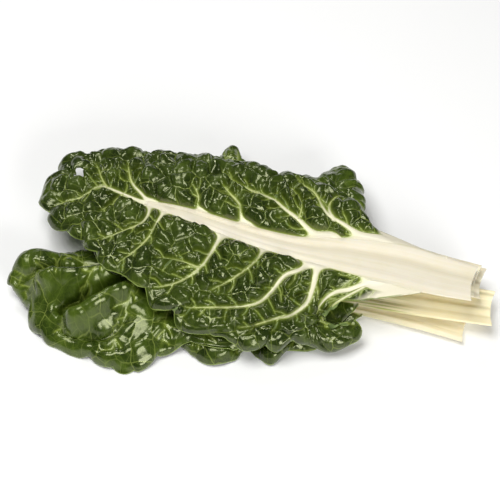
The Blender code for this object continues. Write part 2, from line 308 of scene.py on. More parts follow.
def sample(field, i, j):
    """A grid of numbers or of points, read between its rows i and its columns j."""
    i0, j0 = (np.clip(x.astype(int), 0, n - 2) for x, n in zip((i, j), field.shape))
    s, t = i - i0, j - j0
    if field.ndim == 3:
        s, t = s[..., None], t[..., None]
    low = field[i0, j0] * (1 - s) + field[i0 + 1, j0] * s
    high = field[i0, j0 + 1] * (1 - s) + field[i0 + 1, j0 + 1] * s
    return low * (1 - t) + high * t


def soften(field, times):
    """A field whose values are averaged with those around them, a number of times."""
    for _ in range(times):
        p = np.pad(field, 1, mode="edge")
        field = (p[:-2, 1:-1] + p[2:, 1:-1] + p[1:-1, :-2] + p[1:-1, 2:] + 2 * field) / 6
    return field


class Pile:
    """The height of the top of every leaf laid down so far."""

    LENGTH, WIDTH = 280, 180       # half the size of the map

    def __init__(self, cell):
        self.cell = cell
        self.tops = np.zeros((int(2 * self.LENGTH / cell) + 1, int(2 * self.WIDTH / cell) + 1))
        self.smooth = self.tops.copy()

    def height(self, x, y):
        return sample(self.smooth, (x + self.LENGTH) / self.cell, (y + self.WIDTH) / self.cell)

    def lay(self, points, above):
        """Raise the map to a surface's points, plus what stands above them."""
        p = points.reshape(-1, 3)
        i = np.rint((p[:, 0] + self.LENGTH) / self.cell).astype(int)
        j = np.rint((p[:, 1] + self.WIDTH) / self.cell).astype(int)
        np.maximum.at(self.tops, (i, j), p[:, 2] + above)

    def settle(self):
        """Widen the map by a cell, then round it off."""
        nx, ny = self.tops.shape
        p = np.pad(self.tops, 1, mode="edge")
        widened = np.max([p[a:a + nx, b:b + ny] for a in range(3) for b in range(3)], axis=0)
        self.smooth = soften(widened, 2)


class Leaf:
    """One leaf: its stalk and midrib, and the lines that its blade is stretched on."""

    def __init__(self, rib, half, thick, near, tip, far):
        self.rib = np.array(rib, float)
        self.half = half
        self.thick = thick
        self.lines = ([(*line, -1) for line in near] + [(*tip, 0)]
                      + [(*line, 1) for line in reversed(far)])
        self.end = len(near)

    def stretch(self):
        """Work out the lines' feet, ends and bows. A wing at each end of the blade runs down
        along the stalk, and two more lines start at the corners of the midrib's end."""
        share, margin, way, side = zip(*self.lines)
        end = self.end
        picks = np.array([*range(end), end - 0.5, end, end + 0.5, *range(end + 1, len(share))])
        margin = spline(margin, picks)
        share = np.array([*share[:end], 1, 1, 1, *share[end + 1:]], float)
        side = np.array([*side[:end], -1, 0, 1, *side[end + 1:]], float)
        first = np.maximum(share[[0, -1]] - WING, 0.02)
        tips = self.stalk_middle(first, side[[0, -1]])
        tips += self.directions(first)[1] * (WING_TIP * side[[0, -1]])[:, None]
        self.margin = np.vstack([tips[:1], margin, tips[1:]])
        self.share = np.array([first[0], *share, first[1]])
        self.side = np.array([side[0], *side, side[-1]])
        middle = (self.stalk_middle(self.share, self.side) + self.margin)[1:-1] / 2
        ways = [(0, 0, w) if isinstance(w, (int, float)) else np.array(w) - m
                for w, m in zip(way, np.delete(middle, [end, end + 2], axis=0))]
        bow = spline(ways, picks)
        self.bow = np.vstack([bow[:1] * 0, bow, bow[:1] * 0])

    def rib_at(self, share):
        return spline(self.rib, share * (len(self.rib) - 1))

    def half_at(self, share):
        return spline(self.half, share * (len(self.half) - 1))[:, 0]

    def thick_at(self, share):
        return spline(self.thick, share * (len(self.thick) - 1))[:, 0]

    def directions(self, share):
        """Along the rib, across it towards +Y, and out of its upper face."""
        step = 0.01
        ahead = self.rib_at(np.clip(share + step, 0, 1))
        along = unit(ahead - self.rib_at(np.clip(share - step, 0, 1)))
        across = unit(np.cross(along, (0.0, 0.0, 1.0)))
        return along, across, unit(np.cross(across, along))

    def stalk_middle(self, share, v):
        """The middle surface of the stalk; v is -1 and +1 at its two edges."""
        _, across, up = self.directions(share)
        w = self.half_at(share)
        return self.rib_at(share) + across * (w * v)[:, None] + up * (CHANNEL * w * v * v)[:, None]

    def rest_stalk(self, pile):
        """Raise the rib where the pile is higher than its underside."""
        stations = np.linspace(0, 1, len(self.rib))
        for _ in range(3):
            for v in np.linspace(-1, 1, 9):
                p = self.stalk_middle(stations, np.full(len(stations), v))
                below = self.thick_at(stations) * BELLY * (1 - v * v) + EDGE * v * v
                height = pile.height(p[:, 0], p[:, 1])
                lift = np.maximum(height + below + STALK_GAP - p[:, 2], 0)
                self.rib[:, 2] += np.where(height > 0, lift, 0)
        self.stretch()

    def foot_share(self, k):
        return np.clip(spline(self.share, k + 1)[:, 0], 0, 1)

    def flat(self, k, u):
        """The blade before it is laid on the pile. k counts the lines, from -1 at the near
        wing; u is 0 at the rib and 1 at the margin, for each column or for every point."""
        share = self.foot_share(k)
        side = np.clip(spline(self.side, k + 1)[:, 0], -1, 1)
        foot = self.stalk_middle(share, side)
        along, across, _ = self.directions(share)
        foot -= TUCK * (across * side[:, None] + along * np.sqrt(1 - side ** 2)[:, None])
        u = np.broadcast_to(u, (len(k), u.shape[-1]))[..., None]
        p = foot[:, None] + (spline(self.margin, k + 1) - foot)[:, None] * u
        return p + spline(self.bow, k + 1)[:, None] * (4 * u * (1 - u))

    def drape(self, p, u, pile):
        """Lift a blade's points off what lies under them."""
        below = pile.height(p[..., 0], p[..., 1])
        lowest = below + DRAPE + LEAF_GAP * np.minimum(1, below / FULL_GAP)
        above = p[..., 2] - lowest
        draped = lowest + 0.5 * (above + np.sqrt(above ** 2 + SOFT_BEND ** 2))
        free = np.minimum(1, np.broadcast_to(u, p.shape[:2]) / HELD)
        p[..., 2] = np.maximum(p[..., 2] * (1 - free) + draped * free, DRAPE)
        return p

    def even_lines(self, count):
        """Values of k that are evenly spaced three quarters of the way out."""
        k = np.linspace(-1, len(self.share) - 2, 1600)
        run = run_along(self.flat(k, np.array([0.75]))[:, 0])
        return np.interp(np.linspace(0, run[-1], count), run, k)


leaves = {}
pile = Pile(cell=4)
for name, table in LEAVES.items():
    leaf = leaves[name] = Leaf(**table)
    leaf.rest_stalk(pile)
    leaf.under = Pile(cell=4)
    leaf.under.smooth = pile.smooth
    columns = np.linspace(0, 1, 32)
    leaf.rough = leaf.drape(leaf.flat(leaf.even_lines(160), columns), columns, pile)
    pile.lay(leaf.rough, DRAPE)
    share = np.linspace(0, 1, 80)
    across = [np.full(len(share), v) for v in np.linspace(-1, 1, 9)]
    leaf.body = np.array([leaf.stalk_middle(share, v) for v in across])
    leaf.bulk = np.array([leaf.thick_at(share) * (1 - v * v) for v in across])
    for middle, bulk, v in zip(leaf.body, leaf.bulk, across):
        pile.lay(middle, CROWN * bulk + EDGE * v * v)
    pile.settle()

# Each leaf has a ceiling as well: the undersides of the leaves on top of it, upside down.
ceiling = Pile(cell=4)
ceiling.tops -= CLEAR_SKY
for leaf in reversed(leaves.values()):
    leaf.over = Pile(cell=4)
    ceiling.settle()
    leaf.over.smooth = ceiling.smooth
    ceiling.lay(-leaf.rough * (-1, -1, 1), DRAPE)
    ceiling.lay(-leaf.body * (-1, -1, 1), (BELLY * leaf.bulk).ravel() + EDGE)


# Stalks --------------------------------------------------------------------------
# A thick cream stalk, hollowed along its upper face and ribbed underneath, which
# narrows into the midrib of its leaf. It is cut off square and moist at its thick end.
MM = 0.001                 # metres in a millimetre
STATIONS = 190             # rings along a stalk
ACROSS = 28                # quads across its upper face
BEVEL = 0.6                # the softened rim of the cut
CUT_HOLLOW = 3.0           # how far the cut dishes in
GRAIN_APART = 400          # how far apart two stalks lie in the fibres and blotches

# How high each stalk's ridges are, how deep its trough is, and how warm its cream is; a warmer cream
# is also brighter, as painted light, and has less painted shade in its trough.
STALKS = dict(bottom_leaf=(0.7, 0, 0.7), fourth_leaf=(0.9, 0, 1.0), third_leaf=(0.5, 1, 0.4),
              second_leaf=(0.4, 1, 0.3), top_leaf=(0.25, 1.5, 0.0))


def ramp(x, low, high):
    """0 below low, 1 above high, and straight from one to the other."""
    return np.clip((x - low) / (high - low), 0, 1)


def stored(tree, name, out="Fac"):
    """What store has kept for each vertex: a number, or with out="Vector" a vector."""
    return node(tree, "ShaderNodeAttribute", dict(attribute_name=name), out=out)


def cream_material(name, warmth_and_painted_light, start):
    """Cream flesh with long pale fibres, green at its thin edges and streaked with green towards the
    blade, moist at the cut. A band of painted shade darkens the trough in its upper face, and a
    warmer cream is also brighter as painted light. Start is where the grain begins."""
    material, tree, shader = new_material(name)
    grain = stored(tree, "grain", out="Vector")
    rim = stored(tree, "rim")
    cut = stored(tree, "cut")
    stretched = node(tree, "ShaderNodeMapping", dict(vector_type="POINT"), out="Vector",
                     Vector=grain, Scale=(0.008, 0.45, 0.45))
    fibres = node(tree, "ShaderNodeTexNoise", None, Vector=stretched, Scale=1.0, Detail=5.0)
    blotches = node(tree, "ShaderNodeTexNoise", None, Vector=grain, Scale=0.05, Detail=3.0)
    # A warmer cream is yellower, which is its own tone, and also brighter: painted light that stands
    # in for the light the stalk above shades off the lower stalks.
    pale = (0.79 + 0.14 * warmth_and_painted_light ** 3, 0.735 + 0.11 * warmth_and_painted_light ** 3, 0.60 - 0.02 * warmth_and_painted_light)
    deep = (0.73 + 0.16 * warmth_and_painted_light ** 3, 0.665 + 0.12 * warmth_and_painted_light ** 3, 0.46 - 0.01 * warmth_and_painted_light)
    flesh = (fibres * 0.6 + blotches * 0.6).between(0.40, 1.0).mix(pale, deep)
    along = node(tree, "ShaderNodeSeparateXYZ", None, Vector=grain, out="X")
    across = node(tree, "ShaderNodeSeparateXYZ", None, Vector=grain, out="Y")
    # Painted shade: a darker tan band along the trough in the stalk's upper face, where the groove
    # lies in shade. It is strongest on the palest stalks.
    trough = across.between(-4, 7) * (1 - across.between(7, 17)) * 0.4 * (1 - warmth_and_painted_light)
    flesh = trough.mix(flesh, (0.64, 0.57, 0.40))
    streaks = fibres.between(0.44, 0.58) * along.between(start + 64, start + 102) * warmth_and_painted_light * 0.8
    green = (rim + streaks).mix(flesh, (0.40, 0.42, 0.10))
    bundles = node(tree, "ShaderNodeTexVoronoi", dict(voronoi_dimensions="3D"), out="Distance",
                   Vector=grain, Scale=0.35)
    face = bundles.between(0.05, 0.45).mix((0.76, 0.73, 0.53), (0.90, 0.87, 0.70))
    colour = cut.mix(green, face)
    bump = node(tree, "ShaderNodeBump", None, Strength=0.35, Distance=0.0006,
                Height=fibres + blotches * 0.3)
    plug(tree, shader, Base_Color=colour, Roughness=fibres * 0.25 + 0.30 - cut * 0.15, Normal=bump,
         IOR=1.42, Subsurface_Weight=0.12, Subsurface_Radius=(1.0, 0.7, 0.35),
         Subsurface_Scale=0.004)
    return material


def store(mesh, name, values):
    """A number or a vector for each vertex of a mesh, for its material to read."""
    kind = "FLOAT" if values.ndim == 1 else "FLOAT_VECTOR"
    layer = mesh.attributes.new(name, kind, "POINT")
    layer.data.foreach_set("value" if values.ndim == 1 else "vector",
                           np.ascontiguousarray(values, np.float32).ravel())


def add_piece(name, verts, faces, material, slot, **values):
    """A piece that rides on the bunch, from points in millimetres."""
    mesh = bpy.data.meshes.new(name)
    mesh.from_pydata(((verts - (*MIDDLE, 0)) * MM).tolist(), [], faces)
    mesh.materials.append(material)
    mesh.shade_smooth()
    for layer, numbers in values.items():
        store(mesh, layer, numbers)
    piece = add_object(name, mesh)
    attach(piece, "root")
    return piece


def stalk_face(leaf, share, v, top):
    """Points of a stalk's upper face or underside at its shares and cross places v."""
    w, thick = leaf.half_at(share), leaf.thick_at(share)
    wander = leaf.phase + 0.5 * np.sin(share * 5 + leaf.phase)
    fade = np.minimum(1, w / 12) * (1 - v ** 4)
    lip = EDGE * np.minimum(1, w / 6) * np.sqrt(1 - np.abs(v) ** 6)
    if top:
        grooves = np.cos(8.5 * v + wander) + 0.6 * np.cos(15 * v - 1.7 * wander)
        height = thick * CROWN * (1 - v * v) + lip + leaf.ridge * grooves * fade
        height -= leaf.trough * fade * np.exp(-((v - 0.3) / 0.32) ** 2)
    else:
        ribs = np.cos(11 * v - wander) + 0.5 * np.cos(19 * v + wander)
        height = -thick * BELLY * (1 - v * v) - lip - 0.5 * ribs * fade
    along, across, up = leaf.directions(share)
    p = (leaf.rib_at(share) + across * (w * v)[:, None]
         + up * (CHANNEL * w * v * v + height)[:, None])
    p += along * (CUT_HOLLOW * (1 - v * v) * np.exp(-share / 0.03))[:, None]
    p[:, 2] = np.maximum(p[:, 2], 0.4 if top else 0)
    return p


def stalk_rings(leaf, share):
    """Rings of points round a stalk: across its upper face and back along its underside."""
    v = np.sin(np.linspace(-0.5, 0.5, ACROSS + 1) * np.pi)
    upper, lower = (np.stack([stalk_face(leaf, share, np.full(len(share), x), top) for x in v],
                             axis=1) for top in (True, False))
    return np.concatenate([upper, lower[:, -2:0:-1]], axis=1), v


def tube_faces(rings, count):
    """Quads round a tube whose rings go over the top to +Y and back underneath."""
    here = np.arange(rings - 1)[:, None] * count + np.arange(count)[None, :]
    there = np.arange(rings - 1)[:, None] * count + (np.arange(count) + 1)[None, :] % count
    return np.stack([here, here + count, there + count, there], axis=-1).reshape(-1, 4).tolist()


def end_faces(first, flip):
    """Quads that close an end, each from the upper face to the point under it."""
    faces = []
    for i in range(ACROSS):
        low_here, low_next = (2 * ACROSS - i) % (2 * ACROSS), 2 * ACROSS - i - 1
        face = [first + i, first + i + 1, first + low_next, first + low_here]
        face = list(dict.fromkeys(face))
        faces.append(face[::-1] if flip else face)
    return faces


for order, (name, leaf) in enumerate(leaves.items()):
    # The first ring stands twice, and one of the two is drawn in to soften the cut's rim.
    share = np.concatenate([[0, 0], np.linspace(0.0025, 1, STATIONS)])
    leaf.ridge, leaf.trough, warmth_and_painted_light = STALKS[name]
    leaf.phase = 1.3 * order
    rings, v = stalk_rings(leaf, share)
    rings[0] -= unit(rings[0] - rings[0].mean(axis=0)) * BEVEL
    count = rings.shape[1]
    along = np.repeat(run_along(leaf.rib_at(share)), count)
    v = np.tile(np.concatenate([v, v[-2:0:-1]]), len(share))
    width = np.repeat(leaf.half_at(share), count)
    level = rings[..., 2].ravel() - np.repeat(leaf.rib_at(share)[:, 2], count)
    verts = rings.reshape(-1, 3)
    end = len(verts)
    verts = np.concatenate([verts, rings[0]])         # the cut has corners of its own
    faces = tube_faces(len(share), count)
    faces += end_faces(end, flip=False) + end_faces(end - count, flip=True)
    start = GRAIN_APART * order
    grain = np.stack([along + start, v * width, level], axis=1)
    rim = ramp(np.abs(v), 0.93, 1) * ramp(along, 27, 117) * 0.7
    grain = np.concatenate([grain, grain[:count]])
    cut = np.concatenate([np.zeros(end), np.ones(count)])
    piece = add_piece(name + "_stalk_flesh", verts, faces,
                      cream_material(name + "_cream", warmth_and_painted_light, start),
                      "stalk_cream", grain=grain, rim=np.concatenate([rim, rim[:count]]), cut=cut)
    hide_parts(name + "_stalk")


# Blades ---------------------------------------------------------------------------
# Thin glossy green blades that puff up between their veins: broad pillows between the
# side veins, small blisters beside the midrib, a net of pale veinlets in the creases,
# and a lobed margin that curls down. Beside a stalk they run out in a cream wing.
BLADE = 0.8                # thickness of a blade
STEP = 1.15     # size of a quad on the top leaf's upper face
COARSER = 1.14             # how much larger the quads are on the other leaves
VEIN_STEP = 0.8            # distance between the points of a vein
TWIG_EVERY = (5, 11)       # least and most distance from one twig to the next
TWIG_LENGTH = (8, 22)      # shortest and longest twig beside the rib
TWIG_ANGLE = (45, 70)      # degrees between a twig and its vein
TWIG_BEND = (-12, 24)      # degrees by which a twig turns at each of its steps
TWIG_STEPS = 4
NET = 17.0                 # size of the pillows' net
FINE_NET = 6.5             # size of the blisters' net
LUMP = 22.0                # size of the uneven lumps
PATCH = 25.0               # size of the patches with more or fewer blisters
CLEAR_WIDTH = 4            # distance from a vein or the rib over which the relief starts
BULGE_WIDTH = 13           # distance from a vein at which the bulge is full
PILLOW_WIDTH = 7           # distance from the net at which a pillow is full
BLISTER_WIDTH = 2.8        # distance from the fine net at which a blister is full
WANDER = 9                 # how far the nets wander
WANDER_SIZE = 18.0         # size of the bends in them
LAYER = 37.0               # how far apart two blades lie in the nets and the noise
CURL = 4.5                 # how far the margin curls down
CURL_WIDTH = 9             # how far in from the margin the curl starts
FLAT_EDGE = 24             # how far in from the margin the relief is lower
AIR = 0.3                  # least air between a blade and the blade under it
HEADROOM = 0.4             # least air between a blade and the leaf over it
SOFT_PRESS = 2             # how softly a blade gives way under that leaf, squared
WING_FADE = 0.015          # share of the rib over which a blade turns into its wing

# Lengths of the waves that make a margin's lobes, its crinkle and its ruffle.
WAVES = ((101, 67, 45), (23, 15, 11), (60, 38, 27))


def plain_veins(widths, *feet):
    """Straight side veins for a leaf that is mostly hidden, from where they leave the rib."""
    return [(widths, [(k, 0), (k + 0.1, 0.5), (k + 0.1, 0.9)]) for k in feet]


# The side veins of the top leaf, as SHAPES holds them.
TOP_VEINS = [
    ([2.2, 1.4, 1.0, 0.5], [(20.5, 0), (19.7, 0.12), (19.4, 0.28), (19.6, 0.52), (19.8, 0.8)]),
    ([2.4, 1.4, 1.0, 0.5], [(19, 0), (18.8, 0.22), (18.6, 0.42), (18.6, 0.6), (18.8, 0.88)]),
    ([3.4, 2.0, 1.6, 1.1, 0.5], [(16.9, 0), (16.7, 0.27), (16.6, 0.47), (16.7, 0.68), (17.1, 0.9)]),
    ([1.0, 0.7, 0.4], [(16.6, 0.47), (17, 0.49), (17.3, 0.53), (17.7, 0.6)]),
    ([2.4, 1.4, 1.0, 0.5], [(15.8, 0), (15.7, 0.15), (15.7, 0.25), (15.8, 0.45), (16, 0.62)]),
    ([4.2, 2.5, 2.1, 1.7, 1.3, 1.0, 0.6], [(13.7, 0), (14.2, 0.12), (14.7, 0.23), (14.7, 0.42),
     (14.8, 0.57), (15.2, 0.67), (15.8, 0.77), (16.2, 0.86)]),
    ([4.2, 2.7, 2.2, 1.6, 1.1, 0.6], [(13.4, 0), (13.3, 0.15), (13.2, 0.32), (13.2, 0.52),
     (13.5, 0.62), (14.2, 0.7), (14.8, 0.84)]),
    ([7.0, 6.0, 5.2, 4.2, 3.2, 2.3, 1.5, 0.8], [(0.2, 0), (1.0, 0.12), (2.2, 0.2), (3.4, 0.2),
     (4.6, 0.2), (5.5, 0.2), (6.2, 0.23), (6.7, 0.31), (6.5, 0.45), (6.4, 0.6)]),
    ([1.3, 1.2, 1.0, 0.6], [(3.4, 0.3), (3.9, 0.66), (4.3, 0.95), (5.2, 0.96), (6.2, 0.965),
     (7, 0.965), (7.6, 0.96)]),
    ([3.0, 1.9, 1.5, 1.1, 0.6], [(22, 0), (22.6, 0.12), (22.9, 0.25), (23.1, 0.42), (23, 0.5),
     (22.2, 0.62), (21.7, 0.88)]),
    ([1.0, 0.7, 0.4], [(23.1, 0.42), (23.6, 0.53), (24, 0.65), (24.2, 0.82)]),
    ([1.0, 0.7, 0.4], [(22.9, 0.25), (22, 0.31), (21.5, 0.35), (21.1, 0.5)]),
    ([3.0, 1.7, 1.3, 0.9, 0.5], [(23.7, 0), (24.2, 0.12), (24.4, 0.28), (24.8, 0.48),
     (25.1, 0.68)]),
    ([2.6, 1.3, 0.9, 0.5], [(26.9, 0), (26.9, 0.08), (27, 0.2), (27, 0.36)]),
    ([3.4, 1.9, 1.4, 1.0, 0.5], [(27.7, 0), (27.7, 0.1), (27.8, 0.23), (27.8, 0.3), (27.7, 0.48)]),
    ([5.0, 3.0, 2.4, 2.0, 1.6, 1.2, 0.8, 0.5], [(29.5, 0), (29, 0.06), (28.9, 0.2), (28.8, 0.3),
     (28.7, 0.43), (28.2, 0.55), (28, 0.72)]),
    ([1.1, 0.7, 0.4], [(28.9, 0.2), (29.4, 0.38), (29.6, 0.53), (29.6, 0.7)]),
    ([7.0, 6.5, 5.5, 3.4, 2.3, 1.6, 1.0, 0.6], [(34.2, 0), (33.1, 0.02), (32.2, 0.05), (31.4, 0.12),
     (30.7, 0.25), (30.3, 0.32), (30.2, 0.45), (30.2, 0.7), (29.9, 0.82)]),
    ([2.4, 1.6, 1.2, 0.9, 0.5], [(30.4, 0.27), (30.4, 0.45), (30.7, 0.7), (31.1, 0.92)]),
]

# How each blade is shaped: pillow, blister, bulge and lump are heights; wrinkle is the depth
# of its finest texture in metres; lobe and ruffle say how far its margin waves outward and
# up. Between the two lines of smooth it has no lobes and a lower relief. Cream holds the
# shares of the rib, near and far, where the blade turns into its wing, and how slowly it
# does. A hole holds its k and u, and its rows and columns in the underside. A fold holds
# its height, its half width and its points (k, u). A vein holds its half widths from the
# rib on, and its points.
SHAPES = dict(
    bottom_leaf=dict(
        pillow=2.5, blister=1.1, bulge=2.5, lump=9, wrinkle=0.0013, lobe=1.5, ruffle=2,
        folds=[(7, 9, [(7.6, 0.84), (8.4, 0.83), (9.3, 0.83)]),
               (6, 7, [(3.5, 0.86), (4.4, 0.86)])],
        veins=plain_veins([1.4, 0.9, 0.6, 0.4], 1.2, 3, 5.1, 7.2, 9, 12, 15, 17, 18.6)),
    fourth_leaf=dict(
        pillow=0.8, blister=0.2, bulge=1.5, lump=5, wrinkle=0.0006, lobe=3.5, ruffle=3,
        folds=[(17, 9, [(8.9, 0.66), (8.6, 0.45), (8.2, 0.32), (7.8, 0.23), (7.1, 0.1)]),
               (-15, 5, [(7.9, 0.67), (7.7, 0.58), (7.5, 0.48), (7.2, 0.4), (6.8, 0.22)]),
               (17, 8, [(7.5, 0.73), (7.3, 0.65), (7.1, 0.55), (6.9, 0.42), (6.6, 0.3)]),
               (-7, 5, [(7.6, 0.83), (7.2, 0.82), (6.9, 0.79), (6.6, 0.68), (6.4, 0.53)]),
               (5, 6, [(7, 0.93), (6.5, 0.92), (6.1, 0.84), (5.7, 0.75), (5.4, 0.68)]),
               (7, 9, [(11.6, 0.35), (12, 0.6), (12.2, 0.8)]),
               (-5, 4, [(10.6, 0.2), (10.8, 0.5), (10.6, 0.85)])],
        veins=plain_veins([0.9, 0.4, 0.25], 1.5, 3, 4.2, 5.3, 6.4, 7.6, 9, 11, 14, 15.2, 16.4,
                          17.6, 18.8)),
    third_leaf=dict(
        pillow=3, blister=1.1, bulge=2.5, lump=12, wrinkle=0.0013, lobe=4, ruffle=4,
        veins=plain_veins([2.8, 1.4, 0.8, 0.4], 0.8, 1.8, 2.8, 3.8, 6, 8, 9, 10, 11)),
    second_leaf=dict(
        pillow=3.2, blister=1.1, bulge=2.5, lump=13, wrinkle=0.0013, lobe=5, ruffle=4,
        veins=plain_veins([2.8, 1.4, 0.8, 0.4], 1.5, 2.5, 3.5, 4.5, 7, 9, 10, 11, 12, 13, 14.2)),
    top_leaf=dict(
        pillow=4.5, blister=0.9, bulge=5, lump=16, wrinkle=0.0010, lobe=7, ruffle=5,
        smooth=(3, 12.5), cream=(0.31, 0.335, 0.07), hole=(23.35, 0.74, 6, 4),
        folds=[(-9, 6, [(4.6, 0.72), (5.6, 0.85), (6.4, 0.88)])],
        veins=TOP_VEINS),
)


def net_gap(tree, flat, size):
    """Millimetres to the nearest line of a net of veinlets, for a tree of any kind."""
    net = node(tree, "ShaderNodeTexVoronoi",
               dict(voronoi_dimensions="2D", feature="DISTANCE_TO_EDGE"), out="Distance",
               Vector=flat, Scale=1 / size, Randomness=0.85)
    return net * size


def lumps(tree, flat, size, detail=2.0):
    """Soft noise around 0.5 with lumps of this size, for a tree of any kind."""
    return node(tree, "ShaderNodeTexNoise", dict(noise_dimensions="3D"), Vector=flat,
                Scale=1 / size, Detail=detail)


def measure(flat, formula, size):
    """The value of net_gap or lumps at each point, so that shape and colour agree."""
    mesh = bpy.data.meshes.new("gauge")
    mesh.from_pydata(flat.reshape(-1, 3).tolist(), [], [])
    gauge = add_object("gauge", mesh)
    tree = bpy.data.node_groups.new("gauge", "GeometryNodeTree")
    for way in ("INPUT", "OUTPUT"):
        tree.interface.new_socket("Geometry", in_out=way, socket_type="NodeSocketGeometry")
    start = Socket(tree, tree.nodes.new("NodeGroupInput").outputs[0])
    place = node(tree, "GeometryNodeInputPosition")
    kept = node(tree, "GeometryNodeStoreNamedAttribute", dict(data_type="FLOAT", domain="POINT"),
                Geometry=start, Name="value", Value=formula(tree, place, size))
    tree.links.new(kept.socket, tree.nodes.new("NodeGroupOutput").inputs[0])
    gauge.modifiers.new("gauge", "NODES").node_group = tree
    made = gauge.evaluated_get(bpy.context.evaluated_depsgraph_get()).data
    values = np.empty(len(mesh.vertices), np.float32)
    made.attributes["value"].data.foreach_get("value", values)
    bpy.data.objects.remove(gauge)
    bpy.data.meshes.remove(mesh)
    bpy.data.node_groups.remove(tree)
    return values.reshape(flat.shape[:-1])


def nearest(points, targets):
    """For each point, how far the nearest target is, and which it is."""
    tree = kdtree.KDTree(len(targets))
    for i, target in enumerate(targets.tolist()):
        tree.insert(target, i)
    tree.balance()
    found = [tree.find(point)[1:] for point in points.reshape(-1, 3).tolist()]
    found = np.array(found).reshape(*points.shape[:-1], 2)
    return found[..., 1], found[..., 0].astype(int)


def rise(x, width):
    """0 at 0, 1 from width on, and rounded where it arrives."""
    t = np.clip(x / width, 0, 1)
    return 1 - (1 - t) ** 2


class Sheet:
    """A blade's points on a grid: k along the rows, u along the columns."""

    def __init__(self, leaf, rows, columns, seed):
        self.k = leaf.even_lines(rows)
        self.u = np.linspace(0, 1, columns)
        draw = np.random.default_rng(seed)
        run = run_along(leaf.flat(self.k, self.u)[:, -1])
        waves = np.zeros((3, rows))
        for wave, lengths in zip(waves, WAVES):
            for length in lengths:
                wave += np.sin(2 * np.pi * run / length / draw.uniform(0.9, 1.1)
                               + draw.uniform(0, 6.3)) / len(lengths)
        # Rounded lobes with narrow notches between them.
        waves[0] = np.abs(waves[0] * 2.2) ** 0.7 - 0.7
        self.lobes, self.crinkle, self.ruffle = waves

    def at(self, field, k, u):
        """A field of this grid at any k and u."""
        return sample(field, np.interp(k, self.k, np.arange(len(self.k))), u * (len(self.u) - 1))


def vein_points(sheet, path):
    """Evenly spaced k and u along a vein, with the run from its start in millimetres."""
    path = np.array(path, float)
    fine = spline(path, np.linspace(0, len(path) - 1, 40 * len(path)))
    fine[:, 1] = np.clip(fine[:, 1], 0, 1)
    run = run_along(sheet.at(sheet.base, fine[:, 0], fine[:, 1]))
    even = np.arange(0, run[-1], VEIN_STEP)
    return np.interp(even, run, fine[:, 0]), np.interp(even, run, fine[:, 1]), even


def twigs(sheet, vein, draw):
    """Thin veins that leave a side vein to its left and right in turn."""
    vein_k, vein_u, run, half = vein
    rows = np.arange(len(sheet.k))
    columns = len(sheet.u) - 1
    found, place, side = [], 6 + 3 * half[0], 1
    while place < run[-1] - 3:
        at = int(np.searchsorted(run, place))
        k, u = vein_k[at:at + 1], vein_u[at:at + 1]
        ahead = sheet.at(sheet.base, vein_k[at - 2:at + 1:2], vein_u[at - 2:at + 1:2])
        heading = unit(ahead[1] - ahead[0])
        up = sheet.at(sheet.normal, k, u)[0]
        turn = side * np.radians(draw.uniform(*TWIG_ANGLE))
        length = draw.uniform(*TWIG_LENGTH) * (1 - 0.4 * place / run[-1])
        path = [(float(k[0]), float(u[0]))]
        for _ in range(TWIG_STEPS):
            way = heading * np.cos(turn) + np.cross(up, heading) * np.sin(turn)
            pair = np.stack([sheet.at(slope, k, u)[0] for slope in sheet.slopes], axis=1)
            step_i, step_j = np.linalg.lstsq(pair, way * length / TWIG_STEPS, rcond=None)[0]
            i = np.interp(k, sheet.k, rows) + step_i
            k = np.interp(i, rows, sheet.k)
            u = u + step_j / columns
            if not 0.01 < u[0] < 0.95:
                break
            path.append((float(k[0]), float(u[0])))
            turn -= side * np.radians(draw.uniform(*TWIG_BEND))
        if len(path) > 2:
            found.append(([0.3 + 0.22 * half[at], 0.22 + 0.1 * half[at], 0.15], path))
        place += draw.uniform(*TWIG_EVERY)
        side = -side
    return found


def grow_veins(sheet, paths, draw):
    """A blade's main veins, and after them the twigs that leave them."""
    paths = list(paths)
    sheet.main, sheet.veins = len(paths), []
    for count, (widths, path) in enumerate(paths):
        vein_k, vein_u, run = vein_points(sheet, path)
        stations = np.linspace(0, run[-1], len(widths))
        stations[1:-1] *= np.linspace(0.5, 1, len(widths))[1:-1]
        sheet.veins.append((vein_k, vein_u, run, np.interp(run, stations, widths)))
        if count < sheet.main:
            paths += twigs(sheet, sheet.veins[-1], draw)


def measure_gaps(sheet):
    """Distance to the edge of the midrib or of the nearest vein, with a web in their fork,
    and half the width of that vein."""
    gaps = []
    for veins in (sheet.veins[:sheet.main], sheet.veins[sheet.main:]):
        away, which = nearest(sheet.base, np.concatenate(
            [sheet.at(sheet.base, vein_k, vein_u) for vein_k, vein_u, _, _ in veins]))
        half = np.concatenate([vein[3] for vein in veins])[which]
        gaps.append((away - half, half))
    (main_gap, main_half), (twig_gap, twig_half) = gaps
    rib_gap = nearest(sheet.base, sheet.base[:, 0])[0] - TUCK
    fork = np.clip(1 - np.abs(main_gap - rib_gap) / (3 * main_half), 0, 1) ** 2 * 0.75 * main_half
    sheet.webbed = soften(np.minimum(main_gap, rib_gap) - fork, 3)
    sheet.vein_gap = np.minimum(sheet.webbed, twig_gap)
    sheet.vein_half = soften(np.where(rib_gap < main_gap, TUCK, main_half), 3)
    beside_twig = twig_gap < sheet.webbed
    sheet.vein_half[beside_twig] = twig_half[beside_twig]


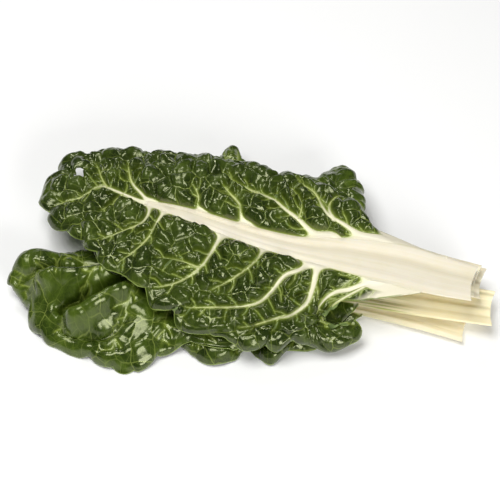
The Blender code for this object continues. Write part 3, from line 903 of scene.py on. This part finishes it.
def relief(sheet, shape):
    """How far each point puffs up along its normal: without the blisters, and with them."""
    net = measure(sheet.flat, net_gap, NET)
    fine = measure(sheet.flat, net_gap, FINE_NET)
    lump = measure(sheet.flat, lumps, LUMP)
    blistered = np.clip(2.2 * measure(sheet.flat + 50, lumps, PATCH) - 0.5, 0.25, 1)
    clear = rise(sheet.vein_gap, CLEAR_WIDTH) * sheet.edge_fade
    broad = shape["bulge"] * rise(sheet.vein_gap, BULGE_WIDTH) + clear * (
        shape["pillow"] * rise(net, PILLOW_WIDTH) + shape["lump"] * (lump - 0.5))
    full = broad + shape["blister"] * rise(fine, BLISTER_WIDTH) * clear * blistered
    ridge = (0.3 + 0.3 * sheet.vein_half) * np.sqrt(
        1 - (1 - np.clip(-sheet.vein_gap / sheet.vein_half, 0, 1)) ** 2)
    full += ridge * rise(sheet.out, CLEAR_WIDTH)
    off_wing = (1 - np.minimum(sheet.wing, 1))[:, None]
    return broad * off_wing, full * off_wing


def blade_material(name, hue, wrinkle):
    """Glossy green with a net of pale veinlets, paler beside veins and underneath."""
    material, tree, shader = new_material(name)
    flat = stored(tree, "flat", out="Vector")
    vein_gap, edge_gap = stored(tree, "vein_gap"), stored(tree, "edge_gap")
    under, wing = stored(tree, "under"), stored(tree, "wing")
    net = net_gap(tree, flat, NET)
    fine = net_gap(tree, flat, FINE_NET)
    patches = lumps(tree, flat, 14.0, 3.0)
    specks = lumps(tree, flat, 1.6, 3.0)
    deep = (0.011 + 0.004 * hue, 0.022 + 0.008 * hue, 0.0025)
    fresh = (0.048 + 0.014 * hue, 0.077 + 0.024 * hue, 0.008)
    lamina = (patches * 0.75 + specks * 0.25).between(0.3, 0.72).mix(deep, fresh)
    lamina = ((1 - vein_gap.between(0.0, 3.2)) * 0.45).mix(lamina, (0.13, 0.18, 0.02))
    veinlet = (0.20, 0.25, 0.05)
    shown = lumps(tree, flat, 30.0).between(0.35, 0.7)
    lined = ((1 - net.between(0.1, 0.6)) * (shown * 0.7 + 0.15)).mix(lamina, veinlet)
    lined = ((1 - fine.between(0.0, 0.4)) * (shown * 0.3 + 0.05)).mix(lined, veinlet)
    webbed = ((1 - vein_gap.between(-0.2, 1.1)) * 0.8).mix(lined, (0.24, 0.30, 0.05))
    fleshy = 1 - vein_gap.between(-1.3, 0.2)
    flesh = vein_gap.between(-3.5, -0.8).mix((0.76, 0.715, 0.575), (0.745, 0.71, 0.51))
    veined = fleshy.mix(webbed, flesh)
    rimmed = (1 - edge_gap.between(0.3, 0.9)).mix(veined, (0.24, 0.32, 0.07))
    cream = (wing.between(0.0, 1.0) * edge_gap.between(0.8, 2.2)).maths("ADD", wing - 1, clamp=True)
    winged = cream.mix(rimmed, (0.73, 0.68, 0.53))
    streak = lumps(tree, flat, 9.0).between(0.32, 0.52) * wing.between(0.1, 0.4)
    streak = streak * (1 - wing.between(1.3, 2.0)) * edge_gap.between(0.5, 1.3)
    streak = streak * (1 - edge_gap.between(2.2, 5.0))
    winged = (streak * 0.85).mix(winged, (0.19, 0.24, 0.05))
    colour = under.mix(winged, (0.13, 0.19, 0.055))
    firm = lumps(tree, flat, 33.0).between(0.35, 0.62) * 0.7 + 0.3
    wrinkles = lumps(tree, flat, 10.0, 1.0) + lumps(tree, flat, 3.4, 1.0) * 0.25
    wrinkles = wrinkles * firm * vein_gap.between(-0.6, 2.4) * (1 - cream)
    bump = node(tree, "ShaderNodeBump", None, Strength=1.0, Distance=wrinkle, Height=wrinkles)
    dull = patches * 0.36 + 0.02 + under * 0.3 + (fleshy + cream) * 0.15
    plug(tree, shader, Base_Color=colour, Roughness=dull, Normal=bump, IOR=1.62,
         Specular_Tint=(0.93, 0.97, 0.60))
    return material


def round_off(field, hole, scale):
    """Draws the points round a hole in a grid together, so that its rim is round. The hole
    holds its first and last row and column in the underside, or at scale 2 on top."""
    places, halves, offsets = [], [], []
    for axis, count in enumerate(field.shape[:2]):
        first, last = hole[2 * axis] * scale, hole[2 * axis + 1] * scale
        places.append(np.arange(count, dtype=float))
        halves.append((last - first) / 2)
        offsets.append((places[axis] - (first + last) / 2) / halves[axis])
    a, b = offsets[0][:, None], offsets[1][None, :]
    pull = np.clip(2 - np.maximum(np.abs(a), np.abs(b)), 0, 1)
    inward_i, inward_j = (np.sqrt(1 - np.clip(x, -1, 1) ** 2 / 2) - 1 for x in (b, a))
    return sample(field, places[0][:, None] + inward_i * a * pull * halves[0],
                  places[1][None, :] + inward_j * b * pull * halves[1])


def rim_of(grid):
    """The four sides of a grid, one after the other round it."""
    return grid[:, 0], grid[-1], grid[::-1, -1], grid[0, ::-1]


def shell(top, low, hole=None):
    """Faces between a fine upper grid and an underside with half as many rows and columns."""
    rows, columns = top
    low_rows, low_columns = low
    upper = np.arange(rows * columns).reshape(rows, columns)
    lower = np.arange(low_rows * low_columns).reshape(low_rows, low_columns) + rows * columns
    over = np.stack([upper[:-1, :-1], upper[1:, :-1], upper[1:, 1:], upper[:-1, 1:]], axis=-1)
    under = np.stack([lower[:-1, :-1], lower[:-1, 1:], lower[1:, 1:], lower[1:, :-1]], axis=-1)
    rims = list(zip(rim_of(upper), rim_of(lower)))
    solid_over, solid_under = (np.ones(quads.shape[:2], bool) for quads in (over, under))
    if hole:
        a, b, c, d = hole
        up = upper[2 * a:2 * b + 1, 2 * c:2 * d + 1]
        down = lower[a:b + 1, c:d + 1]
        rims += [(side[::-1], low_side[::-1]) for side, low_side in zip(rim_of(up), rim_of(down))]
        solid_over[2 * a:2 * b, 2 * c:2 * d] = False
        solid_under[a:b, c:d] = False
    faces = over[solid_over].tolist() + under[solid_under].tolist()
    for fine, coarse in rims:
        for i in range(len(coarse) - 1):
            faces.append([int(n) for n in (fine[2 * i + 2], fine[2 * i + 1], fine[2 * i],
                                           coarse[i], coarse[i + 1])])
    return faces


def both(values, below=None):
    """Numbers for the upper face, and the same or one other for the underside."""
    lower = values[::2, ::2] if below is None else np.full(values[::2, ::2].shape, below)
    return np.concatenate([part.reshape(-1, *values.shape[2:]) for part in (values, lower)])


top_pile = Pile(cell=2)
for order, (name, leaf) in enumerate(leaves.items()):
    shape = SHAPES[name]
    length = run_along(leaf.flat(leaf.even_lines(400), np.array([0.75]))[:, 0])[-1]
    some_k = leaf.even_lines(100)
    ends = leaf.flat(some_k, np.array([0.0, 1.0]))
    reach = np.linalg.norm(ends[:, 1] - ends[:, 0], axis=1)
    step = STEP * (1 if name == "top_leaf" else COARSER)
    rows, columns = (2 * int(size / step / 2) + 1 for size in (length, reach.max()))
    sheet = leaf.sheet = Sheet(leaf, rows, columns, seed=order)
    k, outer = sheet.k, sheet.u[None, :]
    reach = np.interp(k, some_k, reach)
    near, far, fade = shape.get("cream", (*(leaf.share[[1, -2]] - WING_FADE), WING_FADE))
    sheet.wing = np.clip((np.where(k < leaf.end, near, far) - leaf.foot_share(k)) / fade, 0, 2)
    off_wing = 1 - np.minimum(sheet.wing, 1)
    # The margin waves less where the blade is narrow, and not at all beside the stalk.
    first, last = shape.get("smooth", (0, 0))
    free = ramp(np.maximum(first - k, k - last), 0, 1) * ramp(reach, 8, 58)
    free *= ramp(leaf.foot_share(k), 0.33, 0.43)
    wave = shape["lobe"] * (sheet.lobes + 0.08 * sheet.crinkle) * free * off_wing
    p = leaf.flat(k, outer * (1 + (wave / np.maximum(reach, 12))[:, None] * outer ** 3))
    foot_dir = unit(p[:, -1, :2] - p[:, 0, :2])
    out = sheet.out = run_along(p.swapaxes(0, 1)).T
    p[..., 2] += shape["ruffle"] * (sheet.ruffle * off_wing)[:, None] * outer ** 4
    sheet.base = leaf.drape(p.copy(), outer, leaf.under)
    # Folds, like the lift further down, start from nothing at the rib.
    for height, wide, path in shape.get("folds", ()):
        fold_k, fold_u, _ = vein_points(sheet, path)
        away, _ = nearest(sheet.base, sheet.at(sheet.base, fold_k, fold_u))
        p[..., 2] += height * np.exp(-(away / wide) ** 2) * np.minimum(1, 8 * outer)
    sheet.base = leaf.drape(p, outer, leaf.under)
    # The blade's own plane, where its nets lie.
    sheet.flat = np.concatenate([
        p[:, :1, :2] + foot_dir[:, None] * out[..., None],
        np.full((rows, columns, 1), LAYER * order)], axis=2)
    for axis in range(2):
        shift = measure(sheet.flat + (0, 0, 11.0 * axis), lumps, WANDER_SIZE)
        sheet.flat[..., axis] += WANDER * (shift - 0.5)
    sheet.slopes = np.gradient(sheet.base, axis=(0, 1))
    sheet.normal = unit(np.cross(*sheet.slopes))
    sheet.normal[:, 0] = leaf.directions(leaf.foot_share(k))[2]
    grow_veins(sheet, shape["veins"], np.random.default_rng(order))
    measure_gaps(sheet)
    edge = out[:, -1:] - out
    trim = ramp(np.minimum(k - first, last - k), 0, 1)
    sheet.edge_fade = ramp(edge, -0.1 * FLAT_EDGE, 0.9 * FLAT_EDGE) * (1 - 0.6 * trim)[:, None]
    broad, full = relief(sheet, shape)
    curl = CURL * np.clip(1 - edge / CURL_WIDTH, 0, 1) ** 2 * off_wing[:, None]
    top = sheet.base + sheet.normal * (full + BLADE / 2 - curl)[..., None]
    low = (sheet.base + sheet.normal * (broad - BLADE / 2 - curl)[..., None])[::2, ::2]
    # Kept under the leaf over it, and then over the blade under it.
    too_high = top[..., 2] + leaf.over.height(top[..., 0], top[..., 1]) + HEADROOM
    drop = 0.5 * (too_high + np.sqrt(too_high ** 2 + SOFT_PRESS))
    top[..., 2] -= drop
    low[..., 2] -= drop[::2, ::2]
    lowest = top_pile.height(top[..., 0], top[..., 1]) + BLADE + AIR
    lift = np.maximum(lowest - top[..., 2], 0) * np.minimum(1, 10 * outer)
    top[..., 2] = np.maximum(top[..., 2] + lift, BLADE)
    low[..., 2] = np.maximum(low[..., 2] + lift[::2, ::2], 0)
    hole = None
    if "hole" in shape:
        hole_k, hole_u, tall, wide = shape["hole"]
        i, j = int(np.searchsorted(k, hole_k)) // 2, int(hole_u * columns) // 2
        hole = (i - tall // 2, i + tall // 2, j - wide // 2, j + wide // 2)
        top, low = round_off(top, hole, 2), round_off(low, hole, 1)
    sheet.top = top
    verts = np.concatenate([top.reshape(-1, 3), low.reshape(-1, 3)])
    piece = add_piece(name + "_blade_skin", verts, shell(top.shape[:2], low.shape[:2], hole),
                      blade_material(name + "_green", order % 2, shape["wrinkle"]), "blade_green",
                      flat=both(sheet.flat), vein_gap=both(sheet.vein_gap),
                      edge_gap=both(edge), under=both(np.zeros((rows, columns)), 1.0),
                      wing=both(np.repeat(sheet.wing[:, None], columns, axis=1)))
    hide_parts(name + "_blade")
    top_pile.lay(top, 0)
    top_pile.settle()


# Side veins -----------------------------------------------------------------------
# Raised cream cords that leave the midrib through a flared foot, and turn yellow-green
# as they thin out towards the margin. They are fused to the blade and the midrib.
AROUND = 7                 # points over the top of a vein, from edge to edge
THICKEST = 1.3             # largest half width of a raised cord
TAPER = 4                  # length over which a cord thins out at its end
BURIED = 0.25              # how far its edges lie under the blade's face
UNDERSIDE = 0.7            # how deep its underside lies
SUNK = 1.6                 # how deep a cord is sunk where the blade's own flesh is the vein


def vein_material(name):
    """Cream where the vein is thick, yellow-green where it is thin."""
    material, tree, shader = new_material(name)
    width, crest = stored(tree, "width"), stored(tree, "crest")
    place = node(tree, "ShaderNodeNewGeometry", out="Position")
    mottle = node(tree, "ShaderNodeTexNoise", None, Vector=place, Scale=220.0, Detail=3.0)
    thin = (width * 1.0 + mottle * 0.4).between(0.4, 1.3).mix((0.19, 0.25, 0.045), (0.46, 0.50, 0.18))
    body = (width * 0.8 + mottle * 0.5).between(1.0, 2.1).mix(thin, (0.78, 0.74, 0.50))
    colour = crest.between(0.0, 0.6).mix((0.20, 0.27, 0.05), body)
    bump = node(tree, "ShaderNodeBump", None, Strength=0.3, Distance=0.0004, Height=mottle)
    plug(tree, shader, Base_Color=colour, Roughness=mottle * 0.2 + 0.28, Normal=bump, IOR=1.45)
    return material


def foot_in_stalk(leaf, k, heading):
    """Where a vein starts: under the skin of the stalk, rising to its edge."""
    share, side = leaf.foot_share(np.array([k])), spline(leaf.side, np.array([k + 1]))[0]
    along, across, _ = leaf.directions(share)
    w = leaf.half_at(share)[0]
    length = run_along(leaf.rib_at(np.linspace(0, 1, 50)))[-1]
    depth = np.linspace(min(9, 1.2 * w), 1.0, 8)
    back = share - depth * (heading @ along[0]) / length
    v = np.clip(side * (1 - depth * max(abs(heading @ across[0]), 0.45) / w), -1, 1)
    skin = stalk_face(leaf, np.clip(back, 0, 1), v, True)
    skin[:, 2] -= 0.9 + 0.14 * depth
    return skin


for name, leaf in leaves.items():
    sheet = leaf.sheet
    verts, faces, widths, crests = [], [], [], []
    angle = np.linspace(0, np.pi, AROUND)
    for count, (vein_k, vein_u, run, half) in enumerate(sheet.veins):
        line = sheet.at(sheet.top, vein_k, vein_u)
        up = unit(sheet.at(sheet.normal, vein_k, vein_u))
        for _ in range(3):
            line[1:-1] = (line[:-2] + line[1:-1] + line[2:]) / 3
        sunk = SUNK * ramp(half, 1.0, 1.6)
        if count >= sheet.main:
            sunk = SUNK * (1 - ramp(sheet.at(sheet.webbed, vein_k, vein_u), 0, 1))
        if vein_u[0] == 0:
            inside = foot_in_stalk(leaf, vein_k[0], unit(line[3] - line[0]))
            line = np.vstack([inside, line])
            up = np.vstack([np.repeat(up[:1], len(inside), axis=0), up])
            half = np.concatenate([half[0] * np.linspace(1.25, 1, len(inside)), half])
            run = np.concatenate([np.zeros(len(inside)), run])
            sunk = np.concatenate([np.full(len(inside), sunk[0]), sunk])
        along = unit(np.gradient(line, axis=0))
        across = unit(np.cross(along, up))
        half = np.minimum(half, THICKEST) * np.clip((run[-1] - run) / TAPER, 0.15, 1)
        line = line - up * sunk[:, None]
        tall = 0.15 + 0.4 * half
        over = (line[:, None] + across[:, None] * (half[:, None] * np.cos(angle))[..., None]
                + up[:, None] * (tall[:, None] * np.sin(angle) - BURIED)[..., None])
        under = line[:, None] - up[:, None] * UNDERSIDE + across[:, None] * (
            half[:, None] * np.array([-0.6, 0.6]))[..., None]
        rings = np.concatenate([over, under], axis=1)
        start, around = sum(len(v) for v in verts), AROUND + 2
        verts.append(rings.reshape(-1, 3))
        faces += (np.array([f[::-1] for f in tube_faces(len(line), around)]) + start).tolist()
        last = start + (len(line) - 1) * around
        faces.append([start + i for i in range(around)])
        faces.append([last + i for i in range(around)][::-1])
        widths.append(np.repeat(half, around))
        crests.append(np.tile(np.concatenate([np.sin(angle), [0, 0]]), len(line)))
    add_piece(name + "_side_veins", np.concatenate(verts), faces, vein_material(name + "_vein"),
              "stalk_cream", width=np.concatenate(widths), crest=np.concatenate(crests))
